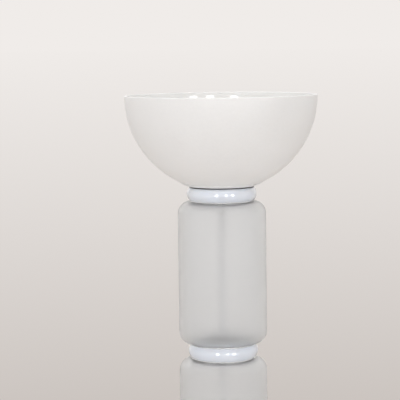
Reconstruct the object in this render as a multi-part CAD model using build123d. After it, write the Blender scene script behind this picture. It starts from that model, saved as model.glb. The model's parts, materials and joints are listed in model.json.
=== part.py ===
from build123d import *
import math
import os

# Torchiere floor lamp: an open glass bowl on a column of frosted cylinders and opal rings.
# Millimetres, +Z up, origin on the floor under the middle of the base, photographed side at -Y.

# Opal glass bowl, a half sphere cut flat at its foot
bowl_diameter = 450.0
bowl_wall = 5.0
bowl_foot_diameter = 162.0
bowl_rim_round = 1.8
bowl_foot_round = 2.5
bowl_floor_round = 8.0

# Spun cup that carries the bowl, with a soft liner between them
cup_sheet = 1.2
cup_lip_height = 5.2
cup_gap = 0.4
liner_thickness = 0.8
liner_width = 30.0

# Black plate and gasket between the cup and the top ring
top_plate_diameter = 152.0
top_plate_thickness = 2.0
top_gasket_diameter = 149.0
top_gasket_thickness = 1.0

# Opal glass rings with a bulged side, hollow on the inside like a tyre
ring_diameter = 164.5
ring_height = 30.5
ring_wall = 7.0
ring_bulge = 6.25
ring_edge_round = 2.5
ring_land = 12.75

# Frosted glass cylinders with rounded shoulders and an open neck at each end
cylinder_diameter = 206.5
cylinder_height = 336.0
cylinder_wall = 5.0
cylinder_land = 11.0
tier_count = 3
glass_edge_round = 0.8

# Turned discs in the seams, which keep the glass necks on the centre tube
flange_thickness = 1.2
flange_inset = 3.0
gasket_thickness = 0.6
spigot_height = 9.0
spigot_wall = 4.0
spigot_gap = 0.4
spigot_lead_in = 1.5
web_thickness = 4.0
hub_wall = 7.0

# Centre tube, its nuts and its washers
tube_diameter = 13.0
tube_wall = 1.5
tube_gap = 0.15
nut_across_flats = 20.0
nut_height = 6.0
nut_chamfer = 1.2
base_washer_diameter = 30.0
base_washer_thickness = 2.0
tube_tail = 1.0

# Clamp on the bowl's floor: gasket with a collar through the bowl's hole, then a washer
collar_wall = 2.2
collar_gap = 0.2
clamp_gasket_diameter = 76.0
clamp_gasket_thickness = 2.0
clamp_washer_diameter = 70.0
clamp_washer_thickness = 3.0
clamp_washer_round = 1.2

# Base: lacquered steel cover over a cast iron weight
base_diameter = 320.0
base_height = 34.0
cover_sheet = 2.0
cover_edge_round = 14.0
weight_gap = 2.0
weight_thickness = 18.0
weight_edge_round = 3.0
weight_boss_diameter = 150.0
weight_roof = 8.0
nut_pocket_gap = 3.0
bottom_sheet = 1.5
bottom_gap = 0.5

# Rubber feet and the screws of the bottom plate
foot_height = 3.0
foot_diameter = 24.0
foot_round = 1.0
foot_count = 6
foot_inset = 8.0
screw_count = 4
screw_diameter = 5.0
screw_length = 12.0
screw_head_diameter = 9.0
screw_head_height = 1.8
screw_gap = 0.1
screw_circle_diameter = 224.0

# Cable way in the weight, terminal block and riser cable
channel_width = 24.0
block_width = 19.0
block_length = 24.0
block_height = 13.0
block_round = 1.5
block_start = 36.0
pole_count = 3
pole_well_diameter = 4.0
pole_well_depth = 5.0
pole_well_inset = 6.0
cable_diameter = 5.0
cable_bend = 8.0
cable_drop = 4.0

# Cable gland in the back of the base, and its lock nut
gland_bore = 7.2
gland_wall = 2.4
gland_flange_diameter = 17.0
gland_flange_thickness = 3.0
gland_length = 14.0
gland_gap = 0.1
gland_round = 1.0
gland_nut_across_flats = 16.0
gland_nut_thickness = 4.0
gland_nut_margin = 0.5

# Foot switch on the base: push button, bezel, body and lock nut
switch_angle = -90.0
button_diameter = 22.0
button_rise = 8.0
button_skirt = 8.0
button_dome = 3.0
button_travel = 4.0
button_gap = 0.4
button_stem_diameter = 12.0
button_stem_length = 12.0
bezel_wall = 2.6
bezel_flange = 3.4
bezel_height = 2.5
bezel_round = 1.5
bezel_depth = 12.0
switch_body_length = 12.0
switch_hole_gap = 0.2
switch_nut_thickness = 3.5
switch_nut_wall = 3.6
switch_pocket_gap = 1.0
stop_gap = 0.6

# Lampholder for a screw bulb
holder_diameter = 42.0
holder_cap_height = 18.0
holder_cap_wall = 2.2
holder_boss_diameter = 22.0
holder_boss_height = 4.0
holder_boss_depth = 3.0
holder_body_height = 42.0
holder_spigot = 3.0
holder_floor = 10.0
holder_round = 2.0
shell_sheet = 0.5
shell_height = 26.0
shell_flange_width = 4.5
shell_gap = 0.15
contact_diameter = 9.0
contact_thickness = 2.0
contact_clearance = 1.5
contact_stem_diameter = 4.8
contact_stem_gap = 0.2
contact_travel = 2.75
contact_collar_diameter = 8.0
contact_collar_thickness = 1.5
contact_stop_gap = 0.3
tube_grip = 7.0

# Bulb: screw cap, plastic housing and opal envelope
cap_diameter = 26.2
cap_gap = 0.3
cap_tip_diameter = 9.0
cap_tip_height = 1.5
cap_cone_height = 4.0
cap_cone_diameter = 23.0
cap_height = 27.0
bulb_diameter = 60.0
bulb_height = 110.0
bulb_wall = 1.5
bulb_neck_gap = 0.6
housing_band = 12.0
housing_round = 40.0
envelope_drop_angle = 22.0

# Radii that several pieces share
tube_radius = tube_diameter / 2
tube_hole = tube_radius + tube_gap
ring_radius = ring_diameter / 2
ring_edge_radius = ring_radius - ring_bulge
bulge_radius = ((ring_height / 2) ** 2 + ring_bulge**2) / (2 * ring_bulge)
neck_radius = ring_edge_radius - ring_land
cylinder_radius = cylinder_diameter / 2
shoulder_round = cylinder_radius - neck_radius - cylinder_land
flange_radius = neck_radius + ring_land - flange_inset
spigot_radius = neck_radius - spigot_gap
base_radius = base_diameter / 2
cover_inner_radius = base_radius - cover_sheet
weight_radius = cover_inner_radius - weight_gap
bowl_radius = bowl_diameter / 2
bowl_foot_radius = bowl_foot_diameter / 2
bowl_hole = tube_hole + collar_wall + collar_gap

# Levels of the base, from the floor up
bottom_level = foot_height
weight_level = bottom_level + bottom_sheet
weight_top = weight_level + weight_thickness
cover_ceiling = base_height - cover_sheet
nut_pocket_top = cover_ceiling - weight_roof
base_nut_top = nut_pocket_top - base_washer_thickness
tube_low = base_nut_top - nut_height - tube_tail

# Levels of the column: each tier is a ring, a seam, a cylinder and another seam
seam_height = 2 * gasket_thickness + flange_thickness
tier_height = ring_height + cylinder_height + 2 * seam_height
column_level = base_height + flange_thickness + gasket_thickness
ring_levels = [column_level + tier * tier_height for tier in range(tier_count + 1)]
cylinder_levels = [level + ring_height + seam_height for level in ring_levels[:tier_count]]
ring_seams = [level + ring_height for level in ring_levels[:tier_count]]
cylinder_seams = [level + cylinder_height for level in cylinder_levels]
seam_levels = sorted(ring_seams + cylinder_seams)

# Levels of the head
top_gasket_level = ring_levels[-1] + ring_height
top_plate_level = top_gasket_level + top_gasket_thickness
cup_level = top_plate_level + top_plate_thickness
cup_floor = cup_level + cup_sheet
bowl_foot_level = cup_floor + liner_thickness
bowl_depth = math.sqrt(bowl_radius**2 - bowl_foot_radius**2)
rim_level = bowl_foot_level + bowl_depth
bowl_floor_level = bowl_foot_level + bowl_wall
clamp_washer_level = bowl_floor_level + clamp_gasket_thickness
top_nut_level = clamp_washer_level + clamp_washer_thickness
holder_level = top_nut_level + nut_height
tube_high = holder_level + tube_grip
body_level = holder_level + holder_cap_height
socket_floor = body_level + holder_floor
holder_top = body_level + holder_body_height
contact_low = socket_floor + shell_sheet + contact_clearance
tip_level = contact_low + contact_thickness
cap_top = tip_level + cap_height

# Foot switch and gland positions
switch_circle = (cylinder_radius + base_radius - cover_edge_round) / 2
switch_x = switch_circle * math.cos(math.radians(switch_angle))
switch_y = switch_circle * math.sin(math.radians(switch_angle))
button_radius = button_diameter / 2
bezel_bore = button_radius + button_gap
barrel_radius = bezel_bore + bezel_wall
barrel_low = base_height - bezel_depth
switch_low = barrel_low - switch_body_length
gland_radius = gland_bore / 2 + gland_wall
gland_level = weight_level + gland_nut_margin + gland_nut_across_flats / 2
channel_height = gland_nut_across_flats + 2 * gland_nut_margin


def turned(*corners):
    """Solid turned about Z from corners given as (radius, height) or (radius, height, rounding)."""
    outline = FilletPolyline(
        *[corner[:2] for corner in corners],
        radius=[corner[2] if len(corner) == 3 else 0 for corner in corners],
        close=True,
    )
    return revolve(Plane.XZ * make_face(outline), Axis.Z)


def washer(inner, outer, low, high, rounding=0):
    """Flat ring with its outer edges rounded."""
    return turned((inner, low), (outer, low, rounding), (outer, high, rounding), (inner, high))


def drum(radius, low, high):
    """Plain cylinder between two levels."""
    return Pos(0, 0, low) * Cylinder(radius, high - low, align=(Align.CENTER, Align.CENTER, Align.MIN))


def hex_nut(bore, across_flats, low, high, chamfer_size):
    """Hexagon nut whose corners are turned off at both faces."""
    corner_radius = across_flats / 2 / math.cos(math.radians(30))
    prism = extrude(Plane.XY.offset(low) * RegularPolygon(corner_radius, 6), high - low)
    face_radius = corner_radius - chamfer_size
    slope = chamfer_size * math.tan(math.radians(30))
    limit = turned(
        (bore, low),
        (face_radius, low),
        (corner_radius, low + slope),
        (corner_radius, high - slope),
        (face_radius, high),
        (bore, high),
    )
    return prism & limit


def polar_points(circle_radius, count, start_angle):
    """Points evenly spaced on a circle."""
    step = 360 / count
    angles = [math.radians(start_angle + step * index) for index in range(count)]
    return [(circle_radius * math.cos(a), circle_radius * math.sin(a)) for a in angles]


def rounded(profile, corner, radius):
    """Profile with the corner nearest to the given point rounded."""
    nearest = profile.vertices().sort_by_distance((corner[0], corner[1], 0))[0]
    return fillet(nearest, radius)


def sphere_offset(radius, depth):
    """Distance from the axis at which a sphere has reached the given depth below its centre."""
    return math.sqrt(radius**2 - depth**2)


def sphere_angle(radius, depth):
    """Angle below the horizontal, in degrees, of a sphere's point at the given depth."""
    return math.degrees(math.asin(depth / radius))


# Glass


def opal_ring(level):
    """Ring of C section: bulged outside and inside between flat ends, open at the neck."""
    top = level + ring_height
    middle = level + ring_height / 2
    hollow_low = level + ring_wall
    hollow_top = top - ring_wall
    hollow_radius = ring_radius - ring_wall
    hollow_reach = sphere_offset(bulge_radius - ring_wall, middle - hollow_low)
    hollow_edge = ring_radius - bulge_radius + hollow_reach
    side = ThreePointArc((ring_edge_radius, level), (ring_radius, middle), (ring_edge_radius, top))
    hollow = ThreePointArc((hollow_edge, hollow_top), (hollow_radius, middle), (hollow_edge, hollow_low))
    profile = make_face(
        [
            Line((neck_radius, level), side @ 0),
            side,
            Line(side @ 1, (neck_radius, top)),
            Line((neck_radius, top), (neck_radius, hollow_top)),
            Line((neck_radius, hollow_top), hollow @ 0),
            hollow,
            Line(hollow @ 1, (neck_radius, hollow_low)),
            Line((neck_radius, hollow_low), (neck_radius, level)),
        ]
    )
    for height in (level, hollow_low, hollow_top, top):
        profile = rounded(profile, (neck_radius, height), glass_edge_round)
    for height in (level, top):
        profile = rounded(profile, (ring_edge_radius, height), ring_edge_round)
    return revolve(Plane.XZ * profile, Axis.Z)


def frosted_cylinder(level):
    """Blown shell of C section: rounded shoulders outside and inside, open at the neck on both ends."""
    top = level + cylinder_height
    inner_radius = cylinder_radius - cylinder_wall
    inner_round = shoulder_round - cylinder_wall
    return turned(
        (neck_radius, level, glass_edge_round),
        (cylinder_radius, level, shoulder_round),
        (cylinder_radius, top, shoulder_round),
        (neck_radius, top, glass_edge_round),
        (neck_radius, top - cylinder_wall, glass_edge_round),
        (inner_radius, top - cylinder_wall, inner_round),
        (inner_radius, level + cylinder_wall, inner_round),
        (neck_radius, level + cylinder_wall, glass_edge_round),
    )


def bowl():
    inner_radius = bowl_radius - bowl_wall
    inner_depth = rim_level - bowl_floor_level
    floor_radius = sphere_offset(inner_radius, inner_depth)
    outer_angle = sphere_angle(bowl_radius, bowl_depth)
    inner_angle = sphere_angle(inner_radius, inner_depth)
    profile = make_face(
        [
            CenterArc((0, rim_level), bowl_radius, -outer_angle, outer_angle),
            Line((bowl_radius, rim_level), (inner_radius, rim_level)),
            CenterArc((0, rim_level), inner_radius, -inner_angle, inner_angle),
            Line((floor_radius, bowl_floor_level), (bowl_hole, bowl_floor_level)),
            Line((bowl_hole, bowl_floor_level), (bowl_hole, bowl_foot_level)),
            Line((bowl_hole, bowl_foot_level), (bowl_foot_radius, bowl_foot_level)),
        ]
    )
    profile = rounded(profile, (bowl_radius, rim_level), bowl_rim_round)
    profile = rounded(profile, (inner_radius, rim_level), bowl_rim_round)
    profile = rounded(profile, (floor_radius, bowl_floor_level), bowl_floor_round)
    profile = rounded(profile, (bowl_foot_radius, bowl_foot_level), bowl_foot_round)
    return revolve(Plane.XZ * profile, Axis.Z)


# Bowl seat and clamp


def bowl_cup():
    """Spun saucer whose lip follows the bowl's sphere."""
    inner_radius = bowl_radius + cup_gap
    outer_radius = inner_radius + cup_sheet
    inner_depth = rim_level - cup_floor
    outer_depth = rim_level - cup_level
    lip_angle = sphere_angle(inner_radius, inner_depth - cup_lip_height)
    inner_angle = sphere_angle(inner_radius, inner_depth)
    outer_angle = sphere_angle(outer_radius, outer_depth)
    inner_lip = CenterArc((0, rim_level), inner_radius, -inner_angle, inner_angle - lip_angle)
    outer_lip = CenterArc((0, rim_level), outer_radius, -outer_angle, outer_angle - lip_angle)
    profile = make_face(
        [
            Line((tube_hole, cup_floor), inner_lip @ 0),
            inner_lip,
            Line(inner_lip @ 1, outer_lip @ 1),
            outer_lip,
            Line(outer_lip @ 0, (tube_hole, cup_level)),
            Line((tube_hole, cup_level), (tube_hole, cup_floor)),
        ]
    )
    return revolve(Plane.XZ * profile, Axis.Z)


def bowl_liner():
    outer = bowl_foot_radius - bowl_foot_round
    return washer(outer - liner_width, outer, cup_floor, bowl_foot_level)


def clamp_gasket():
    """Soft washer on the bowl's floor, with a collar that lines the hole."""
    collar_radius = tube_hole + collar_wall
    outer = clamp_gasket_diameter / 2
    return turned(
        (tube_hole, bowl_foot_level),
        (collar_radius, bowl_foot_level),
        (collar_radius, bowl_floor_level),
        (outer, bowl_floor_level),
        (outer, clamp_washer_level),
        (tube_hole, clamp_washer_level),
    )


def clamp_washer():
    outer = clamp_washer_diameter / 2
    return turned(
        (tube_hole, clamp_washer_level),
        (outer, clamp_washer_level),
        (outer, top_nut_level, clamp_washer_round),
        (tube_hole, top_nut_level),
    )


# Seams of the column


def disc_side(face, end, web_face, flange, has_spigot):
    """One side of a seat disc's outline, from the tube's hole out to the flange's edge."""
    if not has_spigot:
        return [(tube_hole, face), (flange, face)]
    hub_radius = tube_hole + hub_wall
    spigot_inner = spigot_radius - spigot_wall
    return [
        (tube_hole, end),
        (hub_radius, end),
        (hub_radius, web_face),
        (spigot_inner, web_face),
        (spigot_inner, end),
        (spigot_radius, end, spigot_lead_in),
        (spigot_radius, face),
        (flange, face),
    ]


def seat_disc(level, thickness, flange, has_upper=True, has_lower=True):
    """Turned disc: hub on the tube, thin web, flange in the seam and a spigot for each glass neck."""
    top = level + thickness
    middle = level + thickness / 2
    lower = disc_side(level, level - spigot_height, middle - web_thickness / 2, flange, has_lower)
    upper = disc_side(top, top + spigot_height, middle + web_thickness / 2, flange, has_upper)
    return turned(*lower, *reversed(upper))


def glass_gaskets():
    """Soft rings above and below each disc's flange, and one above the base disc's."""
    levels = [base_height + flange_thickness]
    for level in seam_levels:
        levels += [level, level + gasket_thickness + flange_thickness]
    inner = neck_radius + spigot_gap
    return Compound([washer(inner, flange_radius, z, z + gasket_thickness) for z in levels])


def top_gasket():
    return washer(neck_radius, top_gasket_diameter / 2, top_gasket_level, top_plate_level)


# Centre tube and cable


def centre_tube():
    return washer(tube_radius - tube_wall, tube_radius, tube_low, tube_high)


def riser_cable():
    """Cable from the lampholder down the tube, round one bend and into the terminal block."""
    run_level = tube_low - cable_drop
    path = FilletPolyline(
        (0, 0, tube_high), (0, 0, run_level), (0, block_start, run_level), radius=cable_bend
    )
    section = Plane.XY.offset(tube_high) * Circle(cable_diameter / 2)
    return sweep(section, path)


# Base


def base_cover():
    """Pressed steel cap with holes for the tube, the foot switch and the gland."""
    inner_round = cover_edge_round - cover_sheet
    shell = turned(
        (tube_hole, base_height),
        (base_radius, base_height, cover_edge_round),
        (base_radius, bottom_level),
        (cover_inner_radius, bottom_level),
        (cover_inner_radius, cover_ceiling, inner_round),
        (tube_hole, cover_ceiling),
    )
    switch_hole = drum(barrel_radius + switch_hole_gap, weight_top, base_height + bezel_height)
    gland_hole = drum(gland_radius + gland_gap, weight_radius, base_radius + gland_length)
    return shell - at_switch(switch_hole) - at_gland(gland_hole)


def base_weight():
    """Cast disc with a boss under the column, a cable way and pockets for nut, switch and screws."""
    boss_radius = weight_boss_diameter / 2
    disc = turned(
        (tube_hole, weight_level),
        (weight_radius, weight_level),
        (weight_radius, weight_top, weight_edge_round),
        (boss_radius, weight_top, weight_edge_round),
        (boss_radius, cover_ceiling),
        (tube_hole, cover_ceiling),
    )
    nut_pocket = drum(base_washer_diameter / 2 + nut_pocket_gap, weight_level, nut_pocket_top)
    channel = Pos(0, 0, weight_level) * Box(
        channel_width, base_radius, channel_height, align=(Align.CENTER, Align.MIN, Align.MIN)
    )
    pocket_radius = barrel_radius + switch_nut_wall + switch_pocket_gap
    switch_pocket = at_switch(drum(pocket_radius, switch_low - switch_pocket_gap, weight_top))
    weight = disc - nut_pocket - channel - switch_pocket
    for x, y in screw_points():
        weight -= Pos(x, y) * drum(screw_diameter / 2 + screw_gap, weight_level, weight_level + screw_length)
    return weight


def bottom_plate():
    plate = drum(cover_inner_radius - bottom_gap, bottom_level, weight_level)
    for x, y in screw_points():
        plate -= Pos(x, y) * drum(screw_diameter / 2 + screw_gap, bottom_level, weight_level)
    return plate


def screw_points():
    return polar_points(screw_circle_diameter / 2, screw_count, 180 / screw_count)


def base_screws():
    """Pan head screws that hold the bottom plate to the weight."""
    head_radius = screw_head_diameter / 2
    shank_radius = screw_diameter / 2
    shank_top = bottom_level + screw_length
    head_low = bottom_level - screw_head_height
    screw = turned(
        (0, head_low),
        (head_radius, head_low, screw_head_height / 2),
        (head_radius, bottom_level),
        (shank_radius, bottom_level),
        (shank_radius, shank_top),
        (0, shank_top),
    )
    return Compound([Pos(x, y) * screw for x, y in screw_points()])


def rubber_feet():
    radius = foot_diameter / 2
    foot = turned((0, 0), (radius, 0, foot_round), (radius, foot_height), (0, foot_height))
    circle = cover_inner_radius - foot_inset - radius
    return Compound([Pos(x, y) * foot for x, y in polar_points(circle, foot_count, 0)])


def terminal_block():
    """Screw terminal strip on the bottom plate, with a row of screw wells for each end of its poles."""
    block = Pos(0, block_start, weight_level) * Box(
        block_width, block_length, block_height, align=(Align.CENTER, Align.MIN, Align.MIN)
    )
    block = fillet(block.edges().filter_by(Axis.Y).group_by(Axis.Z)[-1], block_round)
    block_top = weight_level + block_height
    well = drum(pole_well_diameter / 2, block_top - pole_well_depth, block_top)
    pole_pitch = block_width / pole_count
    first_pole = (pole_pitch - block_width) / 2
    for pole in range(pole_count):
        x = first_pole + pole * pole_pitch
        for y in (block_start + pole_well_inset, block_start + block_length - pole_well_inset):
            block -= Pos(x, y) * well
    return block


# Gland, turned about its own axis and laid along +Y at the back of the skirt


def at_gland(solid):
    return Pos(0, 0, gland_level) * Rot(-90, 0, 0) * solid


def cable_gland():
    flange_outer = gland_flange_diameter / 2
    flange_face = base_radius + gland_flange_thickness
    gland_end = base_radius - gland_length
    return at_gland(
        turned(
            (gland_bore / 2, gland_end),
            (gland_radius, gland_end),
            (gland_radius, base_radius),
            (flange_outer, base_radius),
            (flange_outer, flange_face, gland_round),
            (gland_bore / 2, flange_face),
        )
    )


def gland_nut():
    corner_radius = gland_nut_across_flats / 2 / math.cos(math.radians(30))
    seat = math.sqrt(cover_inner_radius**2 - corner_radius**2)
    low = seat - gland_nut_thickness
    return at_gland(hex_nut(gland_radius + gland_gap, gland_nut_across_flats, low, seat, gland_round))


# Foot switch


def at_switch(solid):
    return Pos(switch_x, switch_y) * solid


def switch_bezel():
    """Flanged ring on the cover, whose barrel guides the button and carries the body."""
    flange = barrel_radius + bezel_flange
    top = base_height + bezel_height
    return at_switch(
        turned(
            (bezel_bore, barrel_low),
            (barrel_radius, barrel_low),
            (barrel_radius, base_height),
            (flange, base_height),
            (flange, top, bezel_round),
            (bezel_bore, top),
        )
    )


def switch_nut():
    radius = barrel_radius + switch_hole_gap
    across = 2 * (barrel_radius + switch_nut_wall) * math.cos(math.radians(30))
    return at_switch(hex_nut(radius, across, cover_ceiling - switch_nut_thickness, cover_ceiling, nut_chamfer))


def switch_body():
    """Closed housing under the barrel, with a well for the button's stem."""
    well = button_stem_diameter / 2 + button_gap
    button_low = base_height + bezel_height + button_rise - button_skirt - button_dome
    well_floor = button_low - button_stem_length - button_travel - stop_gap
    return at_switch(
        turned(
            (0, switch_low),
            (barrel_radius, switch_low, bezel_round),
            (barrel_radius, barrel_low),
            (well, barrel_low),
            (well, well_floor),
            (0, well_floor),
        )
    )


def switch_button():
    """Domed push button on a stem."""
    top = base_height + bezel_height + button_rise
    shoulder = top - button_dome
    low = shoulder - button_skirt
    stem_radius = button_stem_diameter / 2
    stem_low = low - button_stem_length
    dome_radius = (button_radius**2 + button_dome**2) / (2 * button_dome)
    dome_angle = math.degrees(math.asin(button_radius / dome_radius))
    profile = make_face(
        [
            CenterArc((0, top - dome_radius), dome_radius, 90 - dome_angle, dome_angle),
            Polyline(
                (0, top),
                (0, stem_low),
                (stem_radius, stem_low),
                (stem_radius, low),
                (button_radius, low),
                (button_radius, shoulder),
            ),
        ]
    )
    return at_switch(revolve(Plane.XZ * profile, Axis.Z))


# Lampholder


def holder_cap():
    """Domed metal cap, screwed on the tube's end."""
    radius = holder_diameter / 2
    boss = holder_boss_diameter / 2
    flare = holder_level + holder_boss_height
    inner = radius - holder_cap_wall
    floor = flare + holder_boss_depth
    return turned(
        (tube_hole, holder_level),
        (boss, holder_level),
        (boss, flare),
        (radius, flare + (body_level - flare) / 2, holder_round),
        (radius, body_level),
        (inner, body_level),
        (inner, floor + (body_level - floor) / 2, holder_round),
        (boss, floor),
        (tube_hole, floor),
    )


def holder_body():
    """Porcelain body: spigot in the cap, floor with the contact's guide, socket for the screw shell."""
    radius = holder_diameter / 2
    spigot = radius - holder_cap_wall - shell_gap
    spigot_low = body_level - holder_spigot
    guide = contact_stem_diameter / 2 + contact_stem_gap
    socket = cap_diameter / 2 + cap_gap + shell_sheet + shell_gap
    return turned(
        (guide, spigot_low),
        (spigot, spigot_low),
        (spigot, body_level),
        (radius, body_level),
        (radius, holder_top, holder_round),
        (socket, holder_top, holder_round),
        (socket, socket_floor),
        (guide, socket_floor),
    )


def holder_shell():
    """Brass screw shell with a flange on the socket's floor."""
    inner = cap_diameter / 2 + cap_gap
    outer = inner + shell_sheet
    top = socket_floor + shell_height
    return turned(
        (outer - shell_flange_width, socket_floor),
        (outer, socket_floor),
        (outer, top),
        (inner, top),
        (inner, socket_floor + shell_sheet),
        (outer - shell_flange_width, socket_floor + shell_sheet),
    )


def holder_contact():
    """Sprung contact pin: head under the bulb's tip, stem in its guide, collar that stops it."""
    head = contact_diameter / 2
    stem = contact_stem_diameter / 2
    collar = contact_collar_diameter / 2
    collar_top = body_level - holder_spigot - contact_travel - contact_stop_gap
    collar_low = collar_top - contact_collar_thickness
    return turned(
        (0, collar_low),
        (collar, collar_low),
        (collar, collar_top),
        (stem, collar_top),
        (stem, contact_low),
        (head, contact_low),
        (head, tip_level),
        (0, tip_level),
    )


# Bulb


def bulb_cap():
    tip = cap_tip_diameter / 2
    cone = cap_cone_diameter / 2
    radius = cap_diameter / 2
    cone_low = tip_level + cap_tip_height
    cone_high = cone_low + cap_cone_height
    return turned(
        (0, tip_level),
        (tip, tip_level),
        (tip, cone_low),
        (cone, cone_high),
        (radius, cone_high + radius - cone),
        (radius, cap_top),
        (0, cap_top),
    )


def envelope_low():
    """Radius and level at which the envelope meets the housing."""
    radius = bulb_diameter / 2
    angle = math.radians(envelope_drop_angle)
    centre = tip_level + bulb_height - radius
    return radius * math.cos(angle), centre - radius * math.sin(angle)


def bulb_housing():
    """Plastic housing that widens from the cap to the envelope."""
    radius = cap_diameter / 2
    rim_radius, rim = envelope_low()
    neck = holder_top + bulb_neck_gap
    return turned(
        (0, cap_top),
        (radius, cap_top),
        (radius, neck),
        (radius + bulb_wall, neck),
        (rim_radius, rim - housing_band, housing_round),
        (rim_radius, rim),
        (0, rim),
    )


def bulb_envelope():
    """Opal cover of the bulb, a hollow part sphere."""
    outer = bulb_diameter / 2
    inner = outer - bulb_wall
    centre = tip_level + bulb_height - outer
    rim_radius, rim = envelope_low()
    inner_angle = sphere_angle(inner, centre - rim)
    inner_rim = sphere_offset(inner, centre - rim)
    profile = make_face(
        [
            CenterArc((0, centre), outer, -envelope_drop_angle, 90 + envelope_drop_angle),
            Line((0, centre + outer), (0, centre + inner)),
            CenterArc((0, centre), inner, -inner_angle, 90 + inner_angle),
            Line((inner_rim, rim), (rim_radius, rim)),
        ]
    )
    return revolve(Plane.XZ * profile, Axis.Z)


# Every node and its solid

nodes = {
    "rubber_feet": rubber_feet(),
    "bottom_plate": bottom_plate(),
    "base_screws": base_screws(),
    "base_weight": base_weight(),
    "base_cover": base_cover(),
    "terminal_block": terminal_block(),
    "cable_gland": cable_gland(),
    "gland_nut": gland_nut(),
    "switch_body": switch_body(),
    "switch_bezel": switch_bezel(),
    "switch_nut": switch_nut(),
    "switch_button": switch_button(),
    "centre_tube": centre_tube(),
    "riser_cable": riser_cable(),
    "base_nut": hex_nut(tube_hole, nut_across_flats, base_nut_top - nut_height, base_nut_top, nut_chamfer),
    "base_washer": washer(tube_hole, base_washer_diameter / 2, base_nut_top, nut_pocket_top),
    "base_disc": seat_disc(base_height, flange_thickness, flange_radius, has_lower=False),
    "glass_gaskets": glass_gaskets(),
    "top_gasket": top_gasket(),
    "top_plate": seat_disc(top_plate_level, top_plate_thickness, top_plate_diameter / 2, has_upper=False),
    "bowl_cup": bowl_cup(),
    "bowl_liner": bowl_liner(),
    "bowl": bowl(),
    "clamp_gasket": clamp_gasket(),
    "clamp_washer": clamp_washer(),
    "top_nut": hex_nut(tube_hole, nut_across_flats, top_nut_level, holder_level, nut_chamfer),
    "holder_cap": holder_cap(),
    "holder_body": holder_body(),
    "holder_shell": holder_shell(),
    "holder_contact": holder_contact(),
    "bulb_cap": bulb_cap(),
    "bulb_housing": bulb_housing(),
    "bulb_envelope": bulb_envelope(),
}
for index, level in enumerate(ring_levels, start=1):
    nodes[f"opal_ring_{index}"] = opal_ring(level)
for index, level in enumerate(cylinder_levels, start=1):
    nodes[f"frosted_cylinder_{index}"] = frosted_cylinder(level)
for index, level in enumerate(seam_levels, start=1):
    nodes[f"seat_disc_{index}"] = seat_disc(level + gasket_thickness, flange_thickness, flange_radius)

os.makedirs("parts", exist_ok=True)
for name, solid in nodes.items():
    export_step(solid, f"parts/{name}.step")
print(len(nodes), "nodes, rim at", round(rim_level, 2), "mm")
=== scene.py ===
import json
import math
import random

import bmesh
import bpy
from mathutils import Matrix, Vector


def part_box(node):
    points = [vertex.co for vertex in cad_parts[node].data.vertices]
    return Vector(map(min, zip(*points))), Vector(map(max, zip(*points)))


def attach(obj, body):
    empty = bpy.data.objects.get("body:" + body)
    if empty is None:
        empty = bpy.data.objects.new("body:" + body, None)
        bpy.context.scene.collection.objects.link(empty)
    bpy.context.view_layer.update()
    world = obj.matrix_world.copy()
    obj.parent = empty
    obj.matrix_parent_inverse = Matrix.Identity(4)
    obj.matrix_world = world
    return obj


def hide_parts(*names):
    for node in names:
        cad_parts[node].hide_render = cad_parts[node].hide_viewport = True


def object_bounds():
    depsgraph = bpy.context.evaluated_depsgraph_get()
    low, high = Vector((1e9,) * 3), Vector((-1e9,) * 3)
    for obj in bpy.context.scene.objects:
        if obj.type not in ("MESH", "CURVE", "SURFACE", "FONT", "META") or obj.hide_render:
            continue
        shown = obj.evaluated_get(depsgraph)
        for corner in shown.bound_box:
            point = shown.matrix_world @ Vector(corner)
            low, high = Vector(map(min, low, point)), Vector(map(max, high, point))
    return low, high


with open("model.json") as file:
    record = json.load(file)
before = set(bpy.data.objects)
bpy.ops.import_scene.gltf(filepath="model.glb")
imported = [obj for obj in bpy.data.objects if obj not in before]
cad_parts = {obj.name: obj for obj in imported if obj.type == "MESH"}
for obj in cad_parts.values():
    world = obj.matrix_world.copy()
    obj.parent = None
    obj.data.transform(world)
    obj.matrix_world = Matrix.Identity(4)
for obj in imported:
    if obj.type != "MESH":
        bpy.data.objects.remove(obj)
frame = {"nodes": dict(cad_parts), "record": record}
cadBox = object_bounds()
nodes = frame["nodes"]
scene = bpy.context.scene
fullTurn = 2 * math.pi
onAxis = 1e-6  # a radius below this is a point on the axis
fewestSteps = 3  # in the arc of a rounded corner
sharpDeg = 38  # faces that meet at more than this keep a sharp edge
print("frame loaded with", len(nodes), "nodes")


# Mesh makers: every turned piece is an outline of (radius, height) swept round its axis

def roundedOutline(corners, arcStep):
    # a corner with a third number is rounded by that radius
    outline = []
    for index, corner in enumerate(corners):
        here = Vector(corner[:2])
        if len(corner) < 3:
            outline.append(tuple(here))
            continue
        rounding = corner[2]
        toLast = (Vector(corners[index - 1][:2]) - here).normalized()
        toNext = (Vector(corners[(index + 1) % len(corners)][:2]) - here).normalized()
        half = toLast.angle(toNext) / 2
        centre = here + (toLast + toNext).normalized() * rounding / math.sin(half)
        first = here + toLast * rounding / math.tan(half) - centre
        last = here + toNext * rounding / math.tan(half) - centre
        start = math.atan2(first.y, first.x)
        sweep = math.atan2(first.x * last.y - first.y * last.x, first.dot(last))
        steps = max(fewestSteps, math.ceil(abs(math.degrees(sweep)) / arcStep))
        for step in range(steps + 1):
            angle = start + sweep * step / steps
            x = centre.x + rounding * math.cos(angle)
            outline.append((x, centre.y + rounding * math.sin(angle)))
    return outline


def arcOutline(centre, radius, fromDeg, toDeg, steps):
    angles = [math.radians(fromDeg + (toDeg - fromDeg) * step / steps) for step in range(steps + 1)]
    return [(centre[0] + radius * math.cos(a), centre[1] + radius * math.sin(a)) for a in angles]


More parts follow.
